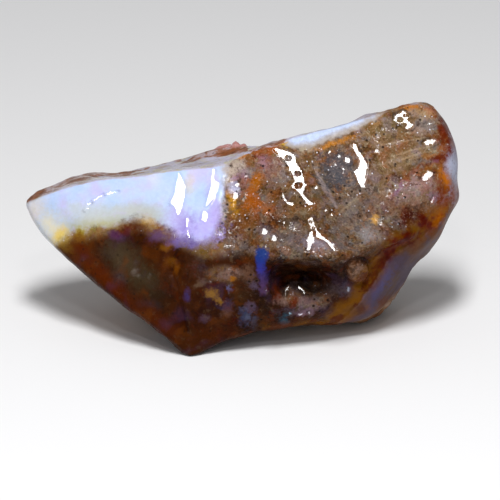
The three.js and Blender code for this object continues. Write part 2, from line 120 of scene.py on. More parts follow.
# Small flat facets, all tilted the same way, as outlines
FACETS = [
    # on the milky flutes
    [(-6.1, 18.0), (-5.9, 17.6), (-5.5, 16.7), (-5.5, 15.9), (-5.8, 14.7), (-6.0, 14.1), (-6.25, 14.2),
     (-6.55, 14.7), (-7.0, 15.1), (-6.9, 15.3), (-6.55, 15.9), (-6.45, 16.8), (-6.25, 17.5)],
    [(-2.8, 18.4), (-2.6, 18.2), (-2.7, 17.6), (-2.6, 17.1), (-2.2, 17.0), (-2.3, 16.4), (-2.6, 15.9),
     (-3.2, 15.0), (-3.5, 14.8), (-3.4, 15.1), (-3.2, 16.0), (-2.9, 16.8), (-3.0, 17.4)],
    [(-3.7, 14.3), (-3.3, 14.0), (-3.5, 13.3), (-3.9, 13.5), (-3.8, 14.0)],
    [(-5.4, 13.5), (-5.42, 12.9), (-5.22, 12.3), (-4.98, 11.8), (-4.93, 11.8), (-5.18, 12.3), (-5.38, 12.9),
     (-5.35, 13.5)],
    [(-15.3, 14.35), (-15.0, 14.85), (-14.65, 15.2), (-14.6, 15.15), (-14.95, 14.8), (-15.25, 14.33)],
    [(-14.5, 15.32), (-13.9, 15.68), (-13.4, 15.92), (-13.4, 15.87), (-13.9, 15.62), (-14.45, 15.27)],
    [(-13.25, 15.96), (-12.7, 16.1), (-12.0, 16.16), (-12.0, 16.11), (-12.7, 16.05), (-13.25, 15.91)],
    # on the crust: a long slanting one, one beside the dish, one under the peak
    [(3.2, 20.2), (4.7, 20.0), (5.2, 19.7), (5.35, 18.9), (5.7, 18.4), (6.0, 17.6), (6.15, 16.9),
     (6.1, 16.4), (5.9, 16.0), (6.45, 15.4), (6.9, 14.95), (6.45, 14.8), (5.95, 15.3), (5.5, 16.0),
     (4.75, 16.7), (5.1, 17.1), (4.9, 17.9), (4.5, 18.6), (3.8, 19.6)],
    [(10.8, 20.9), (11.1, 20.8), (11.3, 20.2), (11.8, 19.6), (12.1, 18.9), (12.0, 18.1), (11.9, 17.4),
     (12.0, 16.6), (11.5, 16.6), (11.2, 17.3), (10.8, 18.1), (11.3, 18.4), (11.5, 19.1), (11.2, 19.8),
     (10.7, 20.7)],
    [(14.7, 23.5), (15.2, 23.8), (15.6, 24.1), (16.0, 23.9), (16.1, 23.2), (16.8, 22.75), (16.5, 22.3),
     (15.85, 22.2), (15.7, 22.8), (15.2, 22.75), (14.75, 23.1)],
    # short ones near the right end
    [(17.5, 20.9), (17.9, 21.25), (18.6, 21.35), (19.1, 21.1), (18.6, 20.75), (17.9, 20.65)],
    [(17.8, 22.7), (18.2, 22.9), (18.6, 22.8), (18.2, 22.6)],
    [(17.4, 17.4), (17.6, 17.9), (18.2, 18.2), (18.7, 18.1), (18.6, 17.7), (18.1, 17.35), (17.6, 17.2)],
    [(18.4, 15.1), (18.45, 15.5), (18.6, 15.75), (18.7, 15.6), (18.6, 15.2), (18.5, 15.0)],
    # two legs that meet, above the cave
    [(6.5, 13.6), (6.7, 13.7), (6.95, 13.2), (7.3, 12.4), (7.9, 11.8), (8.65, 11.15), (9.1, 10.4),
     (8.9, 10.3), (8.15, 11.2), (7.4, 11.8), (6.8, 12.2), (6.5, 12.9)],
    [(6.85, 12.3), (6.9, 11.7), (6.6, 10.5), (6.2, 10.5), (6.3, 11.5), (6.5, 12.2)],
    # a hook and four small ones
    [(3.9, 16.0), (4.0, 15.3), (4.4, 14.9), (5.1, 14.8), (5.05, 15.05), (4.5, 15.15), (4.2, 15.45),
     (4.05, 15.95)],
    [(1.9, 12.2), (2.0, 12.55), (2.3, 12.5), (2.4, 12.1), (2.1, 12.0)],
    [(2.8, 11.5), (3.0, 11.9), (3.3, 11.8), (3.4, 11.5), (3.1, 11.4)],
    [(9.95, 19.05), (10.0, 19.4), (10.3, 19.5), (10.55, 19.3), (10.45, 19.05), (10.2, 18.95)],
    [(8.35, 19.95), (8.5, 20.15), (8.65, 20.0), (8.5, 19.85)],
    [(9.3, 19.6), (9.45, 19.75), (9.6, 19.6), (9.45, 19.5)],
    [(7.9, 14.3), (8.1, 14.5), (8.3, 14.3), (8.1, 14.15)],
    [(8.5, 13.9), (8.7, 14.05), (8.85, 13.9), (8.65, 13.75)],
    [(7.0, 16.5), (7.15, 16.75), (7.35, 16.65), (7.3, 16.45), (7.1, 16.35)],
    [(12.8, 20.0), (12.95, 20.2), (13.1, 20.05), (12.95, 19.9)],
    [(-0.7, 15.7), (-0.55, 16.0), (-0.35, 15.8), (-0.5, 15.5)],
    [(-0.65, 16.8), (-0.45, 17.0), (-0.25, 16.9), (-0.45, 16.6)],
]
FACET_TILT = 22.5  # degrees up from the broad face

# Smaller ones that face out more: two arcs on the cave's floor and a few spots
LOW_FACETS = [
    [(4.1, 6.1), (4.15, 6.6), (4.5, 7.05), (4.7, 6.9), (4.35, 6.55), (4.3, 6.1)],
    [(5.5, 7.1), (5.95, 6.7), (6.15, 6.25), (5.95, 6.2), (5.8, 6.55), (5.4, 6.85)],
    [(-10.1, 8.0), (-9.95, 8.15), (-9.8, 8.0), (-9.95, 7.85)],
    [(-9.1, 8.0), (-8.95, 8.15), (-8.8, 8.0), (-8.95, 7.85)],
    [(-3.2, 7.5), (-3.05, 7.65), (-2.9, 7.5), (-3.05, 7.35)],
    [(-1.3, 7.2), (-1.15, 7.35), (-1.0, 7.2), (-1.15, 7.05)],
    [(0.35, 4.0), (0.5, 4.15), (0.65, 4.0), (0.5, 3.85)],
    [(4.6, 4.3), (4.75, 4.45), (4.9, 4.3), (4.75, 4.15)],
    [(6.4, 4.35), (6.6, 4.5), (6.75, 4.3), (6.55, 4.15)],
    [(5.7, 4.3), (5.85, 4.4), (6.0, 4.25), (5.85, 4.15)],
    [(2.2, 6.6), (2.35, 6.75), (2.5, 6.55), (2.35, 6.45)],
    [(10.2, 6.7), (10.4, 6.85), (10.55, 6.65), (10.35, 6.5)],
]
LOW_TILT = 10
FLUTED_PART = [
    (-9.4, 18.6), (-0.8, 19.4), (-0.7, 13.0), (-1.8, 10.2), (-5.2, 9.9), (-7.6, 11.2), (-9.4, 12.8),
]

# Round pits, as middle and radius, most of them in the facets
PITS = [
    ((4.5, 19.4), 0.25),
    ((5.4, 17.9), 0.23),
    ((5.5, 16.75), 0.27),
    ((6.65, 13.2), 0.11),
    ((6.95, 12.6), 0.1),
    ((15.4, 23.15), 0.21),
    ((15.8, 22.65), 0.14),
    ((15.9, 23.55), 0.1),
]

# Pale scratches in the crust
SCRATCHES = [
    [(12.1, 22.0), (12.7, 21.3), (13.6, 20.7)],
    [(13.6, 20.7), (15.3, 21.0), (17.9, 21.4)],
    [(14.7, 19.6), (16.5, 20.2), (18.6, 20.6)],
    [(15.5, 19.3), (17.2, 19.9), (19.0, 20.2)],
    [(9.4, 14.1), (10.6, 15.1), (11.8, 15.8)],
]

# Stains and patches on the broad face, bottom layer first, with a few painted glints and the painted shade
# under the cave's roof among them; the blue, violet and strong orange ones are laid after the painted shade
# of the lower part: middle (u, v), half sizes, turn in degrees, colour from 0 to 255, and how strong it is.
# The turns go in steps of 15, because patches with the same turn share a node.
PATCHES = [
    ((-20.3, 14.3), (1.17, 1.56), -30, (216, 208, 202), 0.8),
    ((-18.5, 12.7), (1.66, 1.07), -45, (222, 212, 180), 0.85),
    ((-17.6, 11.9), (0.68, 0.88), -30, (222, 190, 80), 0.8),
    ((-14.6, 14.2), (3.71, 0.88), 0, (190, 194, 192), 0.7),
    ((-13.8, 13.2), (2.15, 0.59), 0, (172, 166, 112), 0.75),
    ((-15.6, 12.4), (0.9, 0.5), -15, (164, 148, 44), 0.8),
    ((-9.7, 14.2), (2.54, 0.78), 0, (178, 178, 170), 0.65),
    ((-5.0, 17.0), (0.49, 1.27), -15, (206, 190, 160), 0.55),
    ((-8.5, 17.4), (0.68, 0.78), 0, (212, 208, 204), 0.4),
    ((-3.6, 12.6), (1.46, 1.37), 0, (172, 160, 228), 0.85),
    ((-5.7, 12.7), (0.9, 1.5), -15, (136, 118, 190), 0.8),
    ((-2.7, 14.6), (0.59, 2.15), 15, (168, 152, 214), 0.7),
    ((-6.4, 13.9), (0.98, 1.37), -15, (176, 166, 218), 0.7),
    ((-0.9, 18.2), (1.17, 1.46), 0, (186, 168, 154), 0.85),
    ((-9.2, 13.4), (0.68, 0.49), 0, (186, 152, 84), 0.6),
    ((-10.3, 12.9), (0.88, 0.68), 0, (108, 44, 12), 0.9),
    ((-11.5, 12.3), (0.78, 0.49), 0, (118, 60, 32), 0.8),
    ((-12.3, 11.9), (0.68, 0.49), 0, (138, 90, 148), 0.75),
    ((-13.2, 11.2), (0.88, 0.59), 15, (104, 60, 38), 0.75),
    ((-16.0, 11.9), (0.98, 0.59), -15, (214, 150, 44), 0.85),
    ((-17.1, 10.8), (0.88, 0.59), -30, (198, 146, 48), 0.75),
    ((-8.3, 11.7), (0.88, 0.59), 15, (132, 90, 140), 0.8),
    ((-7.1, 12.0), (0.8, 0.7), 0, (120, 60, 130), 0.75),
    ((-7.2, 10.9), (0.7, 0.35), 15, (206, 130, 20), 0.75),
    ((-5.3, 11.1), (0.98, 0.49), 0, (150, 130, 186), 0.7),
    ((-3.6, 10.5), (0.88, 0.59), 15, (184, 140, 50), 0.7),
    ((-3.6, 10.4), (0.49, 0.29), 15, (84, 60, 28), 0.85),
    ((-1.9, 11.9), (0.78, 0.78), 0, (104, 60, 34), 0.7),
    ((-0.5, 12.2), (0.88, 0.78), 0, (126, 76, 40), 0.7),
    ((-15.6, 10.3), (1.6, 1.5), -45, (150, 74, 10), 0.8),
    ((-14.0, 8.2), (1.7, 0.8), -45, (128, 48, 6), 0.75),
    ((-11.5, 10.4), (1.56, 0.98), 15, (132, 120, 88), 0.8),
    ((-9.4, 8.4), (1.37, 1.07), 0, (142, 130, 106), 0.7),
    ((-12.6, 9.4), (0.88, 1.37), -15, (110, 78, 44), 0.6),
    ((-11.9, 8.0), (0.59, 0.98), 0, (108, 96, 112), 0.6),
    ((-8.2, 6.4), (1.46, 1.17), 0, (98, 78, 42), 0.75),
    ((-8.9, 5.3), (0.98, 0.49), 0, (92, 86, 110), 0.6),
    ((-10.9, 5.3), (2.6, 0.7), -45, (112, 40, 6), 0.75),
    ((-7.5, 2.9), (2.2, 0.8), -45, (112, 40, 6), 0.75),
    ((-4.8, 0.9), (1.4, 1.2), 0, (128, 54, 8), 0.8),
    ((-6.0, 2.7), (0.78, 0.59), 0, (124, 80, 72), 0.6),
    ((-5.3, 6.1), (0.35, 0.6), 0, (96, 80, 172), 0.75),
    ((-7.0, 9.4), (0.5, 0.45), 15, (206, 130, 20), 0.75),
    ((-6.3, 7.5), (0.39, 2.34), 15, (116, 50, 8), 0.6),
    ((-4.1, 7.1), (0.98, 0.78), 0, (150, 120, 96), 0.6),
    ((-0.9, 8.3), (1.27, 0.49), 15, (192, 166, 160), 0.75),
    ((-1.6, 9.4), (0.88, 0.98), 0, (140, 110, 106), 0.6),
    ((-0.1, 10.1), (0.68, 1.37), 0, (104, 90, 88), 0.6),
    ((0.0, 6.0), (0.98, 1.07), -15, (98, 55, 14), 0.9),
    # a painted lilac glint
    ((-1.3, 6.9), (0.39, 0.29), 0, (150, 150, 216), 0.8),
    ((-4.1, 9.0), (1.17, 0.78), 0, (126, 116, 116), 0.6),
    ((-3.3, 4.7), (1.37, 0.78), 0, (106, 80, 86), 0.6),
    ((-1.6, 5.2), (0.59, 0.59), 0, (100, 94, 150), 0.6),
    ((0.3, 4.2), (0.59, 0.88), 0, (92, 114, 168), 0.75),
    ((1.1, 3.5), (0.49, 0.68), 0, (124, 120, 150), 0.5),
    ((-1.9, 3.5), (1.46, 0.59), 15, (116, 72, 50), 0.7),
    ((-2.9, 2.2), (1.9, 0.6), 15, (112, 44, 6), 0.7),
    ((-4.5, 3.9), (1.17, 0.78), 0, (118, 70, 52), 0.6),
    ((-0.9, 14.9), (0.49, 0.98), 15, (196, 138, 16), 0.9),
    ((0.1, 14.3), (0.6, 0.8), 0, (142, 84, 26), 0.7),
    ((1.3, 17.1), (0.5, 1.3), -30, (158, 88, 0), 0.9),
    ((0.9, 15.3), (0.7, 1.5), 15, (150, 76, 0), 0.95),
    ((2.2, 14.6), (0.9, 0.6), -30, (150, 78, 20), 0.7),
    # a painted white-lilac highlight
    ((-0.8, 16.5), (0.5, 0.7), 0, (190, 190, 220), 0.8),
    ((-0.4, 17.5), (0.7, 0.4), 15, (158, 116, 150), 0.7),
    ((0.3, 16.9), (0.5, 0.6), 0, (168, 110, 114), 0.7),
    ((0.2, 19.8), (0.9, 0.25), 15, (190, 114, 30), 0.7),
    ((1.5, 19.6), (0.7, 0.4), 0, (112, 52, 26), 0.8),
    ((2.9, 20.3), (0.7, 0.3), 15, (150, 72, 10), 0.8),
    ((0.4, 13.3), (0.7, 0.7), 0, (140, 82, 16), 0.7),
    ((2.1, 18.9), (0.7, 0.7), 0, (166, 120, 140), 0.6),
    ((1.7, 20.2), (1.4, 0.4), 0, (146, 76, 24), 0.8),
    ((2.9, 18.0), (0.9, 1.1), 0, (140, 92, 78), 0.65),
    ((3.1, 13.7), (0.68, 0.88), 0, (114, 60, 28), 0.7),
    ((4.2, 15.0), (1.17, 0.78), 0, (122, 84, 28), 0.6),
    ((5.9, 14.3), (1.56, 0.98), 0, (128, 102, 62), 0.6),
    ((4.7, 11.5), (1.95, 0.88), 0, (112, 106, 108), 0.6),
    ((2.5, 12.1), (0.7, 0.6), 0, (160, 148, 158), 0.7),
    ((7.5, 10.9), (1.37, 0.68), 0, (142, 136, 152), 0.6),
    ((9.2, 18.2), (1.6, 2.0), -15, (82, 80, 86), 0.9),
    ((9.9, 17.4), (0.78, 0.68), 0, (72, 73, 80), 0.6),
    ((8.1, 16.9), (0.68, 1.46), -30, (106, 88, 54), 0.6),
    ((10.9, 15.8), (1.56, 0.78), 0, (112, 90, 60), 0.5),
    ((10.6, 14.8), (1.46, 0.7), 30, (150, 138, 128), 0.55),
    ((10.6, 12.9), (1.76, 1.17), 0, (140, 128, 122), 0.5),
    ((14.0, 22.5), (1.86, 0.98), 0, (118, 98, 60), 0.8),
    ((16.5, 19.5), (2.64, 0.88), 15, (160, 132, 98), 0.4),
    ((14.0, 14.8), (1.76, 1.17), 0, (150, 118, 104), 0.55),
    ((17.0, 15.0), (1.56, 0.88), 0, (150, 112, 100), 0.55),
    ((19.1, 15.6), (0.78, 0.59), 0, (192, 172, 212), 0.8),
    ((15.9, 13.5), (0.7, 0.75), 0, (84, 20, 4), 0.95),
    ((17.2, 13.7), (1.7, 0.95), 15, (78, 16, 2), 1.0),
    ((16.3, 11.7), (1.27, 0.49), 15, (120, 50, 12), 0.8),
    ((12.8, 13.3), (0.39, 0.39), 0, (216, 160, 70), 0.8),
    ((12.1, 11.9), (1.17, 0.78), 0, (150, 150, 156), 0.5),
    ((16.3, 24.5), (1.07, 0.39), 0, (184, 108, 16), 0.85),
    ((18.4, 24.2), (0.78, 0.49), -30, (160, 84, 40), 0.7),
    ((13.2, 23.1), (0.59, 0.59), 0, (164, 118, 72), 0.75),
    ((4.1, 20.8), (0.49, 0.39), 0, (222, 172, 30), 0.95),
    ((8.8, 20.8), (1.95, 0.3), 15, (190, 120, 24), 0.8),
    ((6.2, 20.4), (0.9, 0.5), 0, (180, 170, 150), 0.7),
    ((10.2, 6.6), (0.88, 0.59), 0, (142, 132, 164), 0.65),
    ((9.2, 8.0), (0.78, 0.98), 0, (116, 90, 80), 0.5),
    ((4.1, 3.9), (0.49, 0.59), 0, (70, 130, 162), 0.85),
    ((5.0, 3.9), (0.68, 0.39), 0, (130, 40, 25), 0.8),
    ((6.7, 4.4), (1.27, 0.49), 0, (190, 168, 190), 0.6),
    ((14.0, 4.9), (0.98, 0.59), 30, (190, 110, 45), 0.85),
    ((20.7, 18.4), (0.6, 1.9), 0, (184, 194, 220), 0.75),
    ((20.5, 16.0), (0.6, 0.8), 0, (150, 86, 46), 0.7),
    ((17.6, 11.0), (1.6, 0.7), 45, (214, 170, 150), 0.6),
    ((8.6, 17.2), (1.3, 0.7), -45, (50, 36, 22), 0.9),
    # painted glints at the dish's upper right
    ((10.3, 19.5), (0.6, 0.4), 0, (164, 152, 152), 0.7),
    ((17.2, 22.0), (0.9, 0.5), 0, (160, 134, 120), 0.65),
    ((18.2, 19.6), (0.9, 0.4), 15, (180, 118, 54), 0.75),
    ((14.8, 21.5), (1.7, 0.6), 0, (114, 90, 60), 0.65),
    ((0.4, 13.2), (1.0, 0.7), 0, (98, 54, 8), 0.75),
    ((3.1, 13.1), (0.9, 0.9), 0, (52, 24, 6), 0.85),
    ((-1.6, 12.4), (0.8, 0.6), 0, (100, 58, 30), 0.7),
    ((3.0, 19.2), (0.6, 0.4), 0, (126, 80, 62), 0.7),
    ((-0.4, 13.9), (0.6, 0.5), 0, (112, 58, 20), 0.7),
    ((4.9, 13.2), (1.2, 0.7), 0, (88, 70, 50), 0.7),
    ((-0.5, 12.7), (0.7, 0.5), 0, (88, 46, 30), 0.7),
    ((17.3, 16.8), (1.5, 0.8), 15, (166, 124, 124), 0.6),
    ((16.5, 17.8), (1.7, 0.3), 45, (148, 82, 50), 0.65),
    ((15.2, 16.3), (0.8, 0.3), 45, (132, 88, 126), 0.65),
    ((17.6, 23.7), (1.3, 0.5), -15, (180, 142, 100), 0.6),
    ((12.4, 17.6), (1.2, 1.0), 0, (132, 104, 92), 0.5),
    # painted shade under the cave's overhanging roof
    ((5.6, 8.3), (3.3, 1.5), 0, (44, 22, 6), 0.95),
]

# Patches whose colours already hold the painted shade of the lower part, so they are laid after it; the
# near-white spots among them are painted glints
PATCHES_IN_PAINTED_SHADE = [
    # the brown part: a grey-green heart with orange and red-brown round it
    ((-11.6, 9.6), (2.1, 1.6), -45, (66, 53, 36), 0.85),
    ((-9.6, 7.6), (1.7, 1.5), -45, (54, 44, 28), 0.8),
    ((-8.3, 5.8), (1.2, 1.1), -45, (38, 22, 8), 0.7),
    ((-15.6, 10.2), (1.4, 0.7), -45, (74, 20, 0), 0.7),
    ((-11.3, 12.7), (0.9, 0.5), 0, (78, 18, 0), 0.85),
    ((-12.4, 12.0), (0.6, 0.4), 0, (72, 28, 60), 0.75),
    ((-13.4, 8.2), (3.2, 0.7), -45, (80, 28, 0), 0.7),
    ((-8.5, 4.2), (3.2, 0.7), -45, (68, 24, 0), 0.7),
    ((-4.9, 1.0), (3.0, 1.5), 0, (46, 18, 0), 0.75),
    ((-7.4, 9.2), (0.5, 1.3), -15, (74, 32, 2), 0.7),
    ((-10.4, 8.4), (0.3, 0.3), 0, (104, 92, 84), 0.6),
    # under the flutes and left of the blue streak
    ((-5.6, 11.4), (1.3, 0.6), 0, (106, 88, 150), 0.8),
    ((-8.4, 11.9), (0.8, 0.5), 0, (88, 60, 96), 0.6),
    ((0.7, 8.0), (0.8, 1.1), 0, (96, 66, 50), 0.7),
    ((1.2, 7.2), (0.4, 0.5), 0, (86, 72, 96), 0.7),
    ((-2.8, 6.2), (0.75, 0.45), -30, (136, 96, 4), 0.9),
    ((-2.1, 5.6), (0.35, 0.3), 0, (140, 98, 8), 0.8),
    ((-0.9, 7.6), (0.35, 0.2), 0, (148, 90, 12), 0.85),
    ((-4.0, 7.3), (0.6, 0.3), 30, (92, 70, 54), 0.7),
    ((-6.4, 8.6), (0.3, 0.7), 0, (104, 56, 4), 0.7),
    ((-3.6, 4.0), (0.5, 0.4), 0, (74, 52, 66), 0.7),
    ((-1.4, 4.4), (0.5, 0.4), 0, (92, 62, 50), 0.7),
    ((0.9, 5.0), (0.5, 0.4), 0, (84, 70, 92), 0.6),
    # inside the cave: its left wall, the lump on its floor with an orange heart, its right part, its sill
    ((3.3, 6.6), (0.35, 1.0), 0, (86, 32, 10), 0.85),
    ((8.3, 6.4), (1.3, 1.0), 0, (74, 56, 54), 0.7),
    ((5.0, 6.6), (0.5, 0.5), 0, (118, 94, 92), 0.85),
    ((3.9, 5.6), (0.6, 0.5), 0, (116, 90, 82), 0.85),
    ((6.2, 5.5), (0.9, 0.5), -15, (108, 82, 84), 0.8),
    ((5.0, 5.5), (0.4, 0.5), 0, (92, 32, 2), 0.9),
    ((6.2, 4.5), (1.0, 0.35), 0, (122, 96, 112), 0.8),
    ((4.3, 4.6), (0.9, 0.35), 0, (76, 62, 74), 0.7),
    ((9.0, 5.4), (0.5, 0.6), 0, (48, 18, 4), 0.8),
    # painted glints: three on the cave's sill and one to its right
    ((5.75, 4.35), (0.14, 0.1), 0, (232, 228, 244), 0.95),
    ((6.6, 4.4), (0.12, 0.12), 0, (236, 230, 244), 0.95),
    ((4.7, 4.3), (0.16, 0.08), 0, (176, 214, 236), 0.9),
    ((10.4, 6.7), (0.16, 0.1), 0, (196, 210, 236), 0.9),
    # the clear rim, low on the right
    ((18.7, 12.6), (1.4, 1.0), 45, (108, 62, 24), 0.8),
    ((17.0, 10.7), (1.4, 0.9), 45, (98, 66, 46), 0.7),
    ((13.6, 7.1), (0.6, 1.7), -30, (78, 72, 106), 0.85),
    ((13.8, 5.4), (0.7, 0.5), 45, (86, 42, 20), 0.7),
]

# Iron stains at the right-hand edge, which lie over everything else
EDGE_PATCHES = [
    ((19.0, 14.7), (1.2, 0.7), 0, (136, 84, 22), 0.7),
    ((19.5, 16.1), (1.1, 1.1), 0, (112, 46, 0), 1.0),
    ((19.7, 17.6), (0.4, 1.0), 15, (176, 98, 0), 0.85),
    ((18.6, 18.6), (1.3, 0.25), 30, (158, 100, 30), 0.6),
    ((19.1, 19.3), (1.4, 0.6), 30, (92, 24, 0), 0.95),
    ((19.3, 20.5), (0.5, 0.6), 0, (146, 80, 20), 0.8),
    ((19.7, 22.0), (0.75, 1.7), 15, (100, 30, 0), 0.95),
    ((18.9, 18.9), (0.3, 0.2), 0, (130, 84, 100), 0.6),
]


# ==== The stone's mesh, with sizes in millimetres ====

MESH_STEP = 0.27  # between the points of the even mesh, before the front is split once more
FRONT_DEPTH = 6.0  # how far behind the face frame the split part reaches
KNOBBY_CREST = ((-3.2, 1.0), (18.3, 18.9))  # where along the crest it is split too, and above which heights
SKIN_DEPTH, END_DEPTH = 5.0, 4.0  # how far back the broad face's look goes, and how much further at the ends
LEFT_END, RIGHT_END = (-19, -13), (12, 18)  # where along the stone its ends pass into the middle
TOP_BACK = (-14.5, -13.0)  # the w where the look of the narrow top stops

FLUTE_TOP = 18.3  # the height v that the flutes' lines are measured down from
FLUTE_LINES = ((-5.83, -0.14), (-4.3, -0.11), (-2.6, -0.265))  # u at that height, and its change per mm down
FLUTE_MIDDLE, FLUTE_DEPTH = 3.3, -1.46  # how far down the flutes' middle is, and its w
FLUTE_RAKE = 0.41  # the change of w per mm down
LEFT_SLOPE, TOP_SLOPE, VALLEY_SLOPE = 0.22, 0.08, 0.26  # the changes of w across the flutes

FACET_REACH = 1.6  # a facet moves no point further than this
CRACK_SIZE, CREASE_SIZE = (-0.16, 0.22), (-0.22, 0.4)  # height and half width
RING_SIZES = ((1.0, -0.3, 0.2), (0.6, 0.22, 0.25))  # share of the fossil's radius, height and half width


def choose(piece):
    """Selects the piece alone, for the operators that follow."""
    bpy.ops.object.select_all(action="DESELECT")
    piece.select_set(True)
    bpy.context.view_layer.objects.active = piece


def finish_modifier(piece, kind, **settings):
    """Adds a modifier to the piece and applies it."""
    choose(piece)
    modifier = piece.modifiers.new(kind.lower(), kind)
    for name, value in settings.items():
        setattr(modifier, name, value)
    bpy.ops.object.modifier_apply(modifier=modifier.name)


def fine_copy(node, name):
    """The stone's own form with a fine, even mesh."""
    piece = bpy.data.objects.new(name, node.data.copy())
    bpy.context.scene.collection.objects.link(piece)
    choose(piece)
    bpy.ops.object.mode_set(mode="EDIT")
    bpy.ops.mesh.select_all(action="SELECT")
    bpy.ops.mesh.remove_doubles(threshold=0.001 * MM)
    bpy.ops.mesh.tris_convert_to_quads(face_threshold=math.radians(70), shape_threshold=math.radians(70))
    bpy.ops.object.mode_set(mode="OBJECT")
    finish_modifier(piece, "SUBSURF", levels=2, render_levels=2)
    finish_modifier(piece, "REMESH", mode="VOXEL", voxel_size=MESH_STEP * MM, use_smooth_shade=True)
    finish_modifier(piece, "SMOOTH", factor=0.5, iterations=2)
    return piece


def refine_front(piece):
    """Splits the faces that look out of the broad face, and those of the knobby crest."""
    normal, middle = (np.empty(len(piece.data.polygons) * 3, np.float32) for _ in range(2))
    piece.data.polygons.foreach_get("normal", normal)
    piece.data.polygons.foreach_get("center", middle)
    facing = normal.reshape(-1, 3) @ OUT
    middle = middle.reshape(-1, 3)
    depth = (middle / MM + [FACE_SHIFT[0], FACE_SHIFT[1], 0]) @ OUT
    x, z = middle[:, 0] / MM, middle[:, 2] / MM
    knobby = (x > KNOBBY_CREST[0][0]) & (x < KNOBBY_CREST[0][1]) & (z > np.interp(x, *KNOBBY_CREST))
    piece.data.polygons.foreach_set("select", (facing > 0.2) & (depth > -FRONT_DEPTH) | knobby)
    choose(piece)
    bpy.ops.object.mode_set(mode="EDIT")
    bpy.ops.mesh.select_mode(type="FACE")
    bpy.ops.mesh.subdivide(number_cuts=1, smoothness=1.0)
    bpy.ops.object.mode_set(mode="OBJECT")


def soft_step(x, low, high):
    """Rises smoothly from 0 at low to 1 at high."""
    t = np.clip((x - low) / (high - low), 0, 1)
    return t * t * (3 - 2 * t)


def ridge(away, height, half_width):
    """The height of a rounded ridge at a distance from its line; a groove where the height is negative."""
    return height * np.exp(-(away / half_width) ** 2)


def line_height(line, u):
    """The height v of a line of (u, v) points at each u."""
    return np.interp(u, *np.array(line).T)


def line_distance(points, line):
    """How far each (u, v) point is from a line of points."""
    best = np.full(len(points), 1e9)
    for start, end in zip(np.array(line[:-1], float), np.array(line[1:], float)):
        along = end - start
        share = np.clip((points - start) @ along / (along @ along), 0, 1)
        best = np.minimum(best, np.linalg.norm(points - start - share[:, None] * along, axis=1))
    return best


def inside_by(points, outline):
    """How far inside a closed outline each (u, v) point is; less than 0 outside."""
    inside = np.zeros(len(points), bool)
    for (u1, v1), (u2, v2) in zip(outline, outline[1:] + outline[:1]):
        crosses = (v1 > points[:, 1]) != (v2 > points[:, 1])
        at = (u2 - u1) * (points[:, 1] - v1) / (v2 - v1 if v2 != v1 else 1) + u1
        inside ^= crosses & (points[:, 0] < at)
    distance = line_distance(points, outline + outline[:1])
    return np.where(inside, distance, -distance)


class Surface:
    """A mesh's points in the face frame, with their outward directions."""

    def __init__(self, piece):
        self.piece, self.mesh = piece, piece.data
        self.read()

    def read(self):
        """Reads the places and directions again, after the mesh has changed."""
        place, normal = (np.empty(len(self.mesh.vertices) * 3, np.float32) for _ in range(2))
        self.mesh.vertices.foreach_get("co", place)
        self.mesh.vertex_normals.foreach_get("vector", normal)
        self.place = place.reshape(-1, 3).astype(float) / MM
        self.normal = normal.reshape(-1, 3).astype(float)
        moved = self.place + [FACE_SHIFT[0], FACE_SHIFT[1], 0]
        self.u, self.v, self.w = moved @ ALONG, moved @ UP, moved @ OUT
        self.uv = np.stack([self.u, self.v], axis=1)
        self.facing = self.normal @ OUT

    def move(self, step):
        """Moves each point by its own step, but never out of the stone's box."""
        place = np.clip((self.place + step) * MM, np.array(CAD_BOX[0]), np.array(CAD_BOX[1]))
        self.mesh.vertices.foreach_set("co", place.astype(np.float32).ravel())
        self.mesh.update()
        self.read()

    def push(self, distance):
        """Moves each point along its own normal."""
        self.move(self.normal * distance[:, None])

    def lift(self, distance):
        """Moves each point straight out of the broad face."""
        self.move(OUT * distance[:, None])

    def group(self, name, weights):
        """Stores a share from 0 to 1 for each point, for modifiers to read."""
        group = self.piece.vertex_groups.new(name=name)
        for level in range(1, 21):
            chosen = np.flatnonzero(np.round(weights * 20) == level)
            group.add(chosen.tolist(), level / 20, "REPLACE")

    def keep(self, name, values):
        """Stores one number for each point, for the material to read."""
        numbers = self.mesh.attributes.new(name, "FLOAT", "POINT").data
        numbers.foreach_set("value", values.astype(np.float32))


def roughen(piece, name, kind, size, height, group, **settings):
    """Displaces a group of points with a texture; size and height are in millimetres."""
    texture = bpy.data.textures.new(name, kind)
    texture.noise_scale = size * MM
    for setting, value in settings.items():
        setattr(texture, setting, value)
    finish_modifier(piece, "DISPLACE", texture=texture, texture_coords="LOCAL", strength=height * MM,
                    mid_level=0.5, vertex_group=group)


stone = fine_copy(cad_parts["opal"], "stone")
refine_front(stone)
skin = Surface(stone)

# where the stone's parts lie
top_v = line_height(TOP_EDGE, skin.u)
at_end = np.maximum(soft_step(skin.u, *RIGHT_END), 1 - soft_step(skin.u, *LEFT_END))
skin_depth = SKIN_DEPTH + END_DEPTH * at_end
front = soft_step(skin.w, -skin_depth - 1.5, -skin_depth + 0.5) * (1 - soft_step(skin.v - top_v, -0.1, 0.3))
milky, brown = inside_by(skin.uv, MILKY_PART), inside_by(skin.uv, BROWN_PART)
rim, chip = inside_by(skin.uv, CLEAR_RIM), inside_by(skin.uv, CLEAN_CHIP)
smooth = np.maximum.reduce([soft_step(inside, -0.4, 0.3) for inside in (milky, rim, chip)])
crust = (1 - smooth) * (1 - 0.5 * soft_step(brown, -1.0, 0.8))
crust = crust * front + (1 - front) * 0.5

